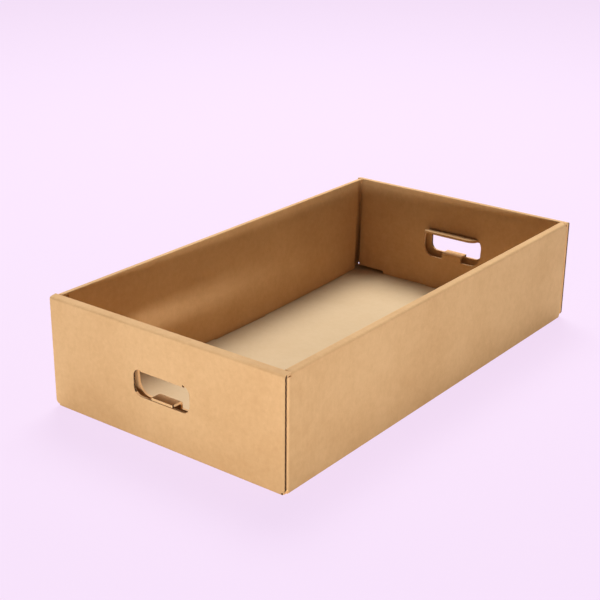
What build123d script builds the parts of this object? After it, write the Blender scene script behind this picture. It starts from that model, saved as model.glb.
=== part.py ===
from build123d import *
from math import radians
import os

# One-piece tray folded from a single die-cut sheet of corrugated board.
# Origin on the ground under the middle of the tray, +X along its length,
# +Y across it, +Z up. All sizes in millimetres.

# ---- overall size and board ----
length = 600.0            # outside, over the two end walls
width = 330.0             # outside, over the two side walls
height = 135.0            # ground to the top crease of the rim
board = 3.0               # thickness of the corrugated board
layer_gap = 0.5           # clearance between two layers that lie side by side
bend_inside = 1.0         # inside radius of a fold
bend_outside = bend_inside + board

# ---- rolled-over rim ----
rim_space = 2.5           # hollow between the two layers of a long wall, at the top
rim_fall = 1.5            # the rolled strip falls this far from its crease to its outer fold
shoulder_round = 3.0      # outside radius of the outer fold
crease_round = 1.2        # outside radius of the inner crease

# ---- inner panels, which lean in towards the floor ----
hinge_height = 126.0      # the lean starts at this height
side_corner_lean = 3.0    # lean of a long inner panel at its ends
side_bow = 10.0           # extra lean in the middle of its length
top_pocket = 11.0         # open stretch between a long panel's end and the end panel, at the top
foot_pocket = 9.0         # and at the floor
end_lean = 11.0           # lean of an end inner panel
end_panel_taper = 4.0     # its sides are cut back this much at the floor
corner_relief = 4.0       # lift of its lower edge near the corners
corner_relief_length = 46.0

# ---- locking tabs on the inner panels, in slots of the floor ----
side_tab = 100.0
end_tab = 72.0
tab_clearance = 1.0       # round a tab in its slot
ground_clearance = 0.4    # between a tab's end and the ground

# ---- ears: folded ends of the long walls, trapped in the end walls ----
ear_length = 95.0
ear_chamfer = 12.0
ear_floor_gap = 1.0       # above the fold at the foot of the end wall
panel_corner = 4.4        # radius of the end panel's lower corners

# ---- hand holes ----
hole_length = 80.0
hole_height = 28.0
hole_middle = 66.0        # height of the middle of the hole
hole_corner = 10.0
inner_hole_side = 5.0     # the inner panel's hole is this much longer at each end
inner_hole_below = 5.5    # and this much lower
flap_room = 4.5           # room above the folded-in flap, in the inner panel's hole
flap_rise = 10.0          # degrees that the flap stands above level
lip_length = 30.0         # small lip folded out over the lower edge of the hole

# ---- worked-out places ----
side_face = width / 2
end_face = length / 2
side_rim = 2 * board + rim_space
end_rim = 3 * board + 2 * layer_gap
side_crease = side_face - side_rim
end_crease = end_face - end_rim
ear_face = end_face - board - layer_gap
ear_bottom = bend_outside + ear_floor_gap
notch_top = height - rim_fall - board - layer_gap
side_panel_top = end_crease - top_pocket
side_panel_foot = end_crease - end_lean - foot_pocket
end_panel_top = side_crease - 2 * layer_gap
end_panel_foot = end_panel_top - end_panel_taper
side_foot_middle = side_crease - side_corner_lean - side_bow
end_foot = end_crease - end_lean
foot = board + layer_gap
hole_top = hole_middle + hole_height / 2
hole_bottom = hole_middle - hole_height / 2
hinge_line = hole_top + bend_outside
run = 12.0                # stretch of floor that each folded wall profile carries


def corner(face, x, y, radius):
    """Round the one corner of a flat profile that lies at x, y."""
    return fillet(face.vertices().sort_by_distance((x, y, 0))[0], radius)


def profile(points):
    return make_face(Polyline(*points, close=True))


def both_ends(half):
    return half + mirror(half, about=Plane.YZ)


def both_sides(half):
    return half + mirror(half, about=Plane.XZ)


def folded_wall(face, rim):
    """Section of floor edge, outer panel and rim strip, as one bent thickness of board."""
    slope = rim_fall / rim
    top = height - rim_fall
    under = board * (1 + slope ** 2) ** 0.5
    inner = face - board
    section = profile([
        (face - run, 0), (face, 0), (face, top), (face - rim, height), (face - rim, height - under),
        (inner, height - under - slope * (rim - board)), (inner, board), (face - run, board)])
    section = corner(section, face, 0, bend_outside)
    section = corner(section, inner, board, bend_inside)
    section = corner(section, face, top, shoulder_round)
    return corner(section, face - rim, height, crease_round)


def panel_head(crease):
    """Section of the first stretch of an inner panel, straight down from the crease."""
    return profile([
        (crease, hinge_height), (crease, height - crease_round),
        (crease + board, height - board), (crease + board, hinge_height)])


def floor_sheet():
    sheet = extrude(Rectangle(length - 2 * bend_outside, width - 2 * bend_outside), board)
    side_slot = Pos(0, side_foot_middle + board / 2, board / 2) * Box(
        side_tab + 2 * tab_clearance, board + 2 * tab_clearance, 2 * board)
    end_slot = Pos(end_foot + board / 2, 0, board / 2) * Box(
        board + 2 * tab_clearance, end_tab + 2 * tab_clearance, 2 * board)
    return sheet - both_sides(side_slot) - both_ends(end_slot)


def side_wall():
    flat_end = ear_face - bend_outside
    wall = extrude(Plane.YZ * folded_wall(side_face, side_rim), flat_end, both=True)
    notch_start = end_crease - layer_gap
    notch_length = length - notch_start
    notch = Pos(notch_start + notch_length / 2, side_face, notch_top + height / 2) * Box(
        notch_length, 4 * side_rim, height)
    return wall - both_ends(notch)


def side_panel():
    head = extrude(Plane.YZ * panel_head(side_crease), side_panel_top, both=True)
    top = Pos(0, side_crease + board / 2, hinge_height) * Rectangle(2 * side_panel_top, board)
    end_y = side_crease - side_corner_lean
    inner = ThreePointArc((-side_panel_foot, end_y), (0, side_foot_middle), (side_panel_foot, end_y))
    outer = Pos(0, board) * inner
    foot_edge = make_face([
        inner, Line(inner @ 1, outer @ 1), outer, Line(outer @ 0, inner @ 0)])
    leaning = loft([Pos(0, 0, ground_clearance) * foot_edge, top], ruled=True)
    beside_tab = Pos((side_tab + length) / 2, side_face, 0) * Box(length, width, 2 * foot)
    return head + (leaning - both_ends(beside_tab))


def end_panel():
    head = extrude(Plane.XZ * panel_head(end_crease), end_panel_top, both=True)
    top = Pos(end_crease + board / 2, 0, hinge_height) * Rectangle(board, 2 * end_panel_top)
    bottom = Pos(end_foot + board / 2, 0, ground_clearance) * Rectangle(board, 2 * end_panel_foot)
    leaning = loft([bottom, top], ruled=True)
    beside_tab = Pos(end_face, (end_tab + width) / 2, 0) * Box(length, width, 2 * foot)
    relief = Pos(end_face, end_panel_top - corner_relief_length + width / 2, foot) * Box(
        length, width, 2 * corner_relief)
    return head + (leaning - both_sides(beside_tab) - both_sides(relief))


def end_wall():
    wall = extrude(Plane.XZ * folded_wall(end_face, end_rim), side_face, both=True)
    fold_end = side_face - bend_outside - layer_gap
    trim = Pos(end_face, fold_end + width / 2, 0) * Box(4 * run, width, 2 * bend_outside)
    wall -= both_sides(trim)
    lower = wall.edges().filter_by(Axis.X).filter_by_position(
        Axis.Z, bend_outside - layer_gap, bend_outside + layer_gap)
    return fillet(lower.group_by(Axis.Y)[0] + lower.group_by(Axis.Y)[-1], panel_corner)


def ear():
    inner = ear_face - board
    tip = side_face - ear_length
    plan = profile([
        (ear_face - run, side_face), (ear_face, side_face), (ear_face, tip),
        (inner, tip), (inner, side_face - board), (ear_face - run, side_face - board)])
    plan = corner(plan, ear_face, side_face, bend_outside)
    plan = corner(plan, inner, side_face - board, bend_inside)
    body = extrude(Pos(0, 0, ear_bottom) * plan, notch_top - ear_bottom)
    tips = body.edges().filter_by(Axis.X).group_by(Axis.Y)[0]
    return chamfer(tips, ear_chamfer)


def hand_hole(grow, bottom, top, start, depth):
    """A rounded opening cut along X from start, longer than the hand hole by grow at each end."""
    outline = RectangleRounded(hole_length + 2 * grow, top - bottom, hole_corner + grow)
    across = Plane((start, 0, (top + bottom) / 2), x_dir=(0, 1, 0), z_dir=(1, 0, 0))
    return extrude(across * outline, depth)


def hand_flap():
    """The cut-out of the outer panel, folded in about the straight upper edge of its hole."""
    turn = 90 + flap_rise
    fold_axis = Axis((end_face - bend_outside, 0, hinge_line), (0, 1, 0))
    fold_length = (bend_inside + board / 2) * radians(turn)
    hinge = Pos(end_face - board / 2, 0, hinge_line) * Rectangle(board, hole_length - 2 * hole_corner)
    bend = revolve(hinge, fold_axis, turn)
    bottom = hole_bottom + layer_gap + fold_length
    top = hinge_line - layer_gap + fold_length
    hanging = hand_hole(-layer_gap, bottom, top, end_face - board, board)
    hanging -= Pos(end_face, 0, hinge_line + hole_height) * Box(length, width, 2 * hole_height)
    return bend + hanging.rotate(fold_axis, turn)


def hand_lip():
    """A narrow lip of the inner panel, folded out over the lower edge of the outer hole."""
    back = end_foot + end_lean * hole_bottom / hinge_height
    base = hole_bottom - inner_hole_below - board
    under = hole_bottom + layer_gap
    section = profile([
        (back, base), (back, under + board), (end_face - layer_gap, under + board),
        (end_face - layer_gap, under), (back + board, under), (back + board, base)])
    section = corner(section, back, under + board, bend_outside)
    section = corner(section, back + board, under, bend_inside)
    return extrude(Plane.XZ * section, lip_length / 2, both=True)


def double_end():
    """One end wall: outer panel, rim and leaning inner panel, with the hand hole through both."""
    outer = end_wall() - hand_hole(0, hole_bottom, hinge_line, end_face - 2 * board, 3 * board)
    inner_top = hole_top + board + flap_room
    inner_bottom = hole_bottom - inner_hole_below
    inner = end_panel() - hand_hole(inner_hole_side, inner_bottom, inner_top, end_foot, end_rim)
    return outer + inner + hand_flap() + hand_lip()


def tray():
    body = floor_sheet() + both_sides(side_wall() + side_panel())
    body += both_ends(double_end())
    return body + both_ends(both_sides(ear()))


if __name__ == "__main__":
    os.makedirs("parts", exist_ok=True)
    model = tray()
    print("solids", len(model.solids()), "volume", round(model.volume), "valid", model.is_valid)
    export_step(model, "parts/tray.step")
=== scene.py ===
# %% [markdown]
# # A cardboard tray, folded from one sheet of corrugated board
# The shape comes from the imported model, which stays where it is. This lesson gives it its finish: brown
# kraft paper over flutes, open cut edges, and the soft light of a product table.

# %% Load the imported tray
import math
import bpy
import bmesh
from mathutils import Matrix, Vector


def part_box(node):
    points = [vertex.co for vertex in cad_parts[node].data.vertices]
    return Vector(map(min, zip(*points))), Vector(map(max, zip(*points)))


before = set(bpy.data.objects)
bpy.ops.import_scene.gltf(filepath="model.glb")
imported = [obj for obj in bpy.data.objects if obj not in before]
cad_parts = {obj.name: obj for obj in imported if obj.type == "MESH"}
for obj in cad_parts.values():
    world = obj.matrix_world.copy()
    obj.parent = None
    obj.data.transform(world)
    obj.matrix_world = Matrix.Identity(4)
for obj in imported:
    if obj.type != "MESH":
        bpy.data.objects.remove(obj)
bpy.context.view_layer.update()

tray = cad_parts["tray"]
low, high = (Vector(corner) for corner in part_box("tray"))
half_length = high.x
print("tray", [round(side * 1000, 1) for side in high - low], "mm")

# %% [markdown]
# ## Shader maths as plain expressions
# Kraft paper is many faint patterns on top of each other, and each is a little sum. The nodes could be added
# and linked one at a time, but then the sum is hard to read. So a small class wraps a socket, and a sum
# written in Python adds the Math nodes for it. One more method makes every other kind of node.

# %% A wrapped socket
class Signal:
    """A number or a vector that travels through a material's nodes."""

    def __init__(self, tree, socket):
        self.tree = tree
        self.socket = socket

    def math(self, operation, *values):
        node = self.tree.nodes.new("ShaderNodeMath")
        node.operation = operation
        for slot, value in zip(node.inputs, (self, *values)):
            connect(self.tree, slot, value)
        return Signal(self.tree, node.outputs[0])

    def __add__(self, other):
        return self.math("ADD", other)

    def __sub__(self, other):
        return self.math("SUBTRACT", other)

    def __rsub__(self, other):
        return self.math("MULTIPLY", -1.0).math("ADD", other)

    def __mul__(self, other):
        return self.math("MULTIPLY", other)

    def __truediv__(self, other):
        return self.math("DIVIDE", other)

    def __gt__(self, other):
        return self.math("GREATER_THAN", other)

    def __lt__(self, other):
        return self.math("LESS_THAN", other)

    def __abs__(self):
        return self.math("ABSOLUTE")

    __radd__ = __add__
    __rmul__ = __mul__


def connect(tree, slot, value):
    """Link a signal to a socket, or set the socket's own value."""
    if isinstance(value, Signal):
        tree.links.new(value.socket, slot)
    else:
        slot.default_value = value


print("sums on sockets ready")

# %% A material, and one method for its nodes
class Finish:
    """A new material, with a method that adds any node."""

    def __init__(self, name):
        self.material = bpy.data.materials.new(name)
        self.material.use_nodes = True
        self.tree = self.material.node_tree
        self.tree.nodes.clear()

    def node(self, kind, settings=None, output=0, **values):
        made = self.tree.nodes.new("ShaderNode" + kind)
        for key, value in (settings or {}).items():
            setattr(made, key, value)
        for key, value in values.items():
            name = key.replace("_", " ")
            slots = [slot for slot in made.inputs if slot.name == name and slot.enabled]
            connect(self.tree, slots[0], value)
        return Signal(self.tree, made.outputs[output])

    def split(self, vector):
        """The three parts of a vector."""
        parts = self.node("SeparateXYZ", Vector=vector).socket.node.outputs
        return [Signal(self.tree, part) for part in parts]

    def noise(self, vector, scale, detail=2.0, roughness=0.5):
        return self.node("TexNoise", Vector=vector, Scale=scale, Detail=detail, Roughness=roughness)

    def blend(self, factor, first, second):
        """The first colour where the factor is 0, and the second where it is 1."""
        return self.node("Mix", {"data_type": "RGBA"}, output=2, Factor=factor, A=first, B=second)

    def smooth(self, value, start, end):
        """0 below start, 1 above end, and a soft step between them."""
        settings = {"interpolation_type": "SMOOTHSTEP"}
        return self.node("MapRange", settings, Value=value, From_Min=start, From_Max=end)

    def output(self, shader):
        out = self.tree.nodes.new("ShaderNodeOutputMaterial")
        connect(self.tree, out.inputs["Surface"], shader)
        return self.material


def linear(red, green, blue):
    """A screen colour, 0 to 255, as the linear colour that a shader works in."""
    parts = [channel / 255 for channel in (red, green, blue)]
    return tuple(c / 12.92 if c <= 0.04045 else ((c + 0.055) / 1.055) ** 2.4 for c in parts) + (1.0,)


print("materials and colours ready")

# %% [markdown]
# ## The paper
# The outer liner of the board is warm brown paper, mottled in soft clouds and full of short fibres. A painted
# image could show that, but it would have to be unwrapped over every fold. Noise that reads the tray's own
# coordinates covers all the panels without a seam, so three sizes of it are added up to one tone.

# %% Clouds, mottle and fibres
cloud_scale = 9.0
mottle_scale = 130.0
fibre_scale = (900.0, 220.0, 220.0)
cloud_share, mottle_share, fibre_share = 0.5, 0.3, 0.2
deep_tone, light_tone = 0.28, 0.72


def paper_pattern(finish, place):
    """The mottle, the fibres, and the tone, from 0 for deep paper to 1 for light paper."""
    clouds = finish.noise(place, cloud_scale, 4.0, 0.6)
    mottle = finish.noise(place, mottle_scale, 4.0, 0.65)
    stretched = finish.node("Mapping", Vector=place, Scale=fibre_scale)
    fibre = finish.noise(stretched, 1.0, 3.0, 0.7)
    mixed = clouds * cloud_share + mottle * mottle_share + fibre * fibre_share
    return mottle, fibre, finish.smooth(mixed, deep_tone, light_tone)


print("clouds every", round(1000 / cloud_scale), "mm, mottle every", round(1000 / mottle_scale), "mm")

# %% [markdown]
# ## The flutes
# Between its two liners the board has a wavy sheet. It runs across the tray, so it shows through the paper as
# a faint washboard, level on the end walls and upright on the long walls. Where an end panel is cut across
# its flutes, the wave is seen between the liners, with painted shade in the hollows between them. Real holes
# that small would need far more faces than the whole tray has, so a pattern of the same pitch draws the paper
# and paints dark shade where the holes are.

# %% The flutes' wave and the cut edge
flute_pitch = 0.0065
board = 0.003
wave_height = 0.36
# The dark colour of the flute hollows is painted shade.
flute_hollow_shade_colour = linear(38, 22, 12)
edge_paper_colour = linear(150, 108, 66)


def flute_wave(where):
    """A wave from -1 to 1 that repeats at each flute."""
    return (where * (2 * math.pi / flute_pitch)).math("SINE")


def open_flutes_with_painted_shade(finish, along, up):
    """The colour of a cut edge: paper for the liners and the flute, and painted shade in the hollows. Through
    the board, 0 is its inner face and 1 its outer face.
    """
    through = (abs(along) - (half_length - board)) / board
    wave = flute_wave(up) * wave_height + 0.5
    fluting = 1.0 - finish.smooth(abs(through - wave), 0.08, 0.16)
    liner = finish.smooth(abs(through - 0.5), 0.36, 0.42)
    # Where neither the flute nor a liner is, the hollow gets the painted shade colour.
    return finish.blend(fluting.math("MAXIMUM", liner), flute_hollow_shade_colour, edge_paper_colour)


print("flutes", flute_pitch * 1000, "mm apart in", board * 1000, "mm board")

# %% [markdown]
# ## The board's finish
# One material covers the whole folded sheet, as one paper does on the real tray. It could have a slot for
# each side of the sheet, but the folded shape is a single mesh, so masks on height and on the way a face
# points choose the paler inside paper for the floor and the open flutes, with painted shade in their hollows,
# for the cut edges.

# %% The kraft board
deep_kraft, light_kraft = linear(203, 158, 108), linear(222, 180, 130)
deep_inside, light_inside = linear(199, 172, 134), linear(207, 182, 146)
speck_colour = linear(120, 84, 50)
speck_scale = 1400.0
speck_strength = 0.35
facing = 0.7
cut_facing = 0.8
flute_relief, mottle_relief, fibre_relief = 0.10, 0.10, 0.25
relief_depth = 0.0006


def kraft_finish():
    finish = Finish("kraft_board")
    place = finish.node("TexCoord", output="Object")
    along, _, up = finish.split(place)
    turned = finish.split(finish.node("NewGeometry", output="True Normal"))
    face_along, face_across, face_up = (abs(part) for part in turned)

    mottle, fibre, tone = paper_pattern(finish, place)
    colour = finish.blend(tone, deep_kraft, light_kraft)
    speck = finish.smooth(finish.noise(place, speck_scale, 1.0), 0.71, 0.76)
    colour = finish.blend(speck * speck_strength, colour, speck_colour)

    floor_top = (up > 0.5 * board) * (up < 1.2 * board) * (face_up > facing)
    colour = finish.blend(floor_top, colour, finish.blend(tone, deep_inside, light_inside))
    # The end panels' cut edges get the open flutes, with painted shade in their hollows.
    end_cut = (abs(along) > half_length - 1.02 * board) * (face_across > cut_facing)
    colour = finish.blend(end_cut, colour, open_flutes_with_painted_shade(finish, along, up))

    on_end = face_along > facing
    washboard = flute_wave(along + on_end * (up - along))
    height = washboard * flute_relief + mottle * mottle_relief + fibre * fibre_relief
    bump = finish.node("Bump", Height=height, Strength=0.25, Distance=relief_depth)
    roughness = 0.78 + mottle * 0.12
    skin = finish.node("BsdfPrincipled", Base_Color=colour, Roughness=roughness,
                       Specular_IOR_Level=0.3, Normal=bump)
    return finish.output(skin)


kraft = kraft_finish()
tray.data.materials.clear()
tray.data.materials.append(kraft)
print("tray finished with", kraft.name, "of", len(kraft.node_tree.nodes), "nodes")

# %% [markdown]
# ## The floor
# A pale floor stands for a product table. A plain lit floor would turn grey away from the lamps, so the
# camera sees mostly a steady glow, while the light that reaches the tray still bounces off a plain white
# surface.

# %% A wide pale floor
floor_reach = 9.0
glow_share = 0.9
backdrop_colour = linear(250, 228, 254)


def floor_finish():
    finish = Finish("pale_floor")
    seen = finish.node("LightPath", output="Is Camera Ray")
    plain = finish.node("BsdfDiffuse", Color=linear(236, 232, 236))
    glow = finish.node("Emission", Color=backdrop_colour, Strength=1.0)
    both = finish.tree.nodes.new("ShaderNodeMixShader")
    for slot, value in zip(both.inputs, (seen * glow_share, plain, glow)):
        connect(finish.tree, slot, value)
    return finish.output(Signal(finish.tree, both.outputs[0]))


floor_mesh = bmesh.new()
bmesh.ops.create_grid(floor_mesh, x_segments=1, y_segments=1, size=floor_reach)
floor_data = bpy.data.meshes.new("floor")
floor_mesh.to_mesh(floor_data)
floor_mesh.free()
floor = bpy.data.objects.new("floor", floor_data)
floor_data.materials.append(floor_finish())
bpy.context.scene.collection.objects.link(floor)
print("floor", 2 * floor_reach, "m wide")

# %% [markdown]
# ## The light
# The tray is bright outside and deep brown inside. A lamp behind it and high up lights the tray's floor and
# leaves the inner walls to what bounces off the kraft. A long low lamp in front lights the near walls, which
# keep it off the inside. One big lamp overhead would be simpler, but it would light the inner walls as much.

# %% The lamps and the world
def soft_lamp(name, place, target, wide, tall, power):
    data = bpy.data.lights.new(name, "AREA")
    data.shape = "RECTANGLE"
    data.size = wide
    data.size_y = tall
    data.energy = power
    lamp = bpy.data.objects.new(name, data)
    lamp.location = place
    lamp.rotation_euler = (Vector(target) - Vector(place)).to_track_quat("-Z", "Y").to_euler()
    bpy.context.scene.collection.objects.link(lamp)
    print(name, "at", place, "gives", power, "W")


soft_lamp("overhead", place=(1.1, 0.85, 2.4), target=(0.0, 0.0, 0.0), wide=1.3, tall=1.3, power=100.0)
soft_lamp("front_fill", place=(-2.2, -1.6, 0.13), target=(-0.2, -0.1, 0.06), wide=1.6, tall=0.2, power=66.0)

world = bpy.data.worlds.new("studio")
world.use_nodes = True
world.node_tree.nodes["Background"].inputs["Color"].default_value = (1.0, 1.0, 1.0, 1.0)
world.node_tree.nodes["Background"].inputs["Strength"].default_value = 0.08
bpy.context.scene.world = world

# %% [markdown]
# ## The camera
# The camera looks down at one end with a long lens, so the long walls draw together only a little. It could
# be aimed with a Track To constraint, but that leaves no roll. So its three directions are worked out from
# a heading, a tilt and a roll, and set as its matrix.

# %% The camera
camera_place = Vector((-1.175, -0.850, 0.658))
camera_heading = math.radians(37.35)
camera_tilt = math.radians(21.85)
camera_roll = math.radians(-0.5)
lens = 76.9

forward = Vector((math.cos(camera_tilt) * math.cos(camera_heading),
                  math.cos(camera_tilt) * math.sin(camera_heading), -math.sin(camera_tilt)))
right = Vector((math.sin(camera_heading), -math.cos(camera_heading), 0.0))
upward = right.cross(forward)
turned_right = math.cos(camera_roll) * right - math.sin(camera_roll) * upward
turned_up = math.sin(camera_roll) * right + math.cos(camera_roll) * upward
camera_data = bpy.data.cameras.new("camera")
camera_data.lens = lens
camera = bpy.data.objects.new("camera", camera_data)
turn = Matrix((turned_right, turned_up, -forward)).transposed().to_4x4()
camera.matrix_world = Matrix.Translation(camera_place) @ turn
bpy.context.scene.collection.objects.link(camera)
bpy.context.scene.camera = camera
bpy.context.scene.view_settings.view_transform = "Standard"
print("camera", round(camera_place.length, 3), "m from the tray's middle, lens", lens, "mm")
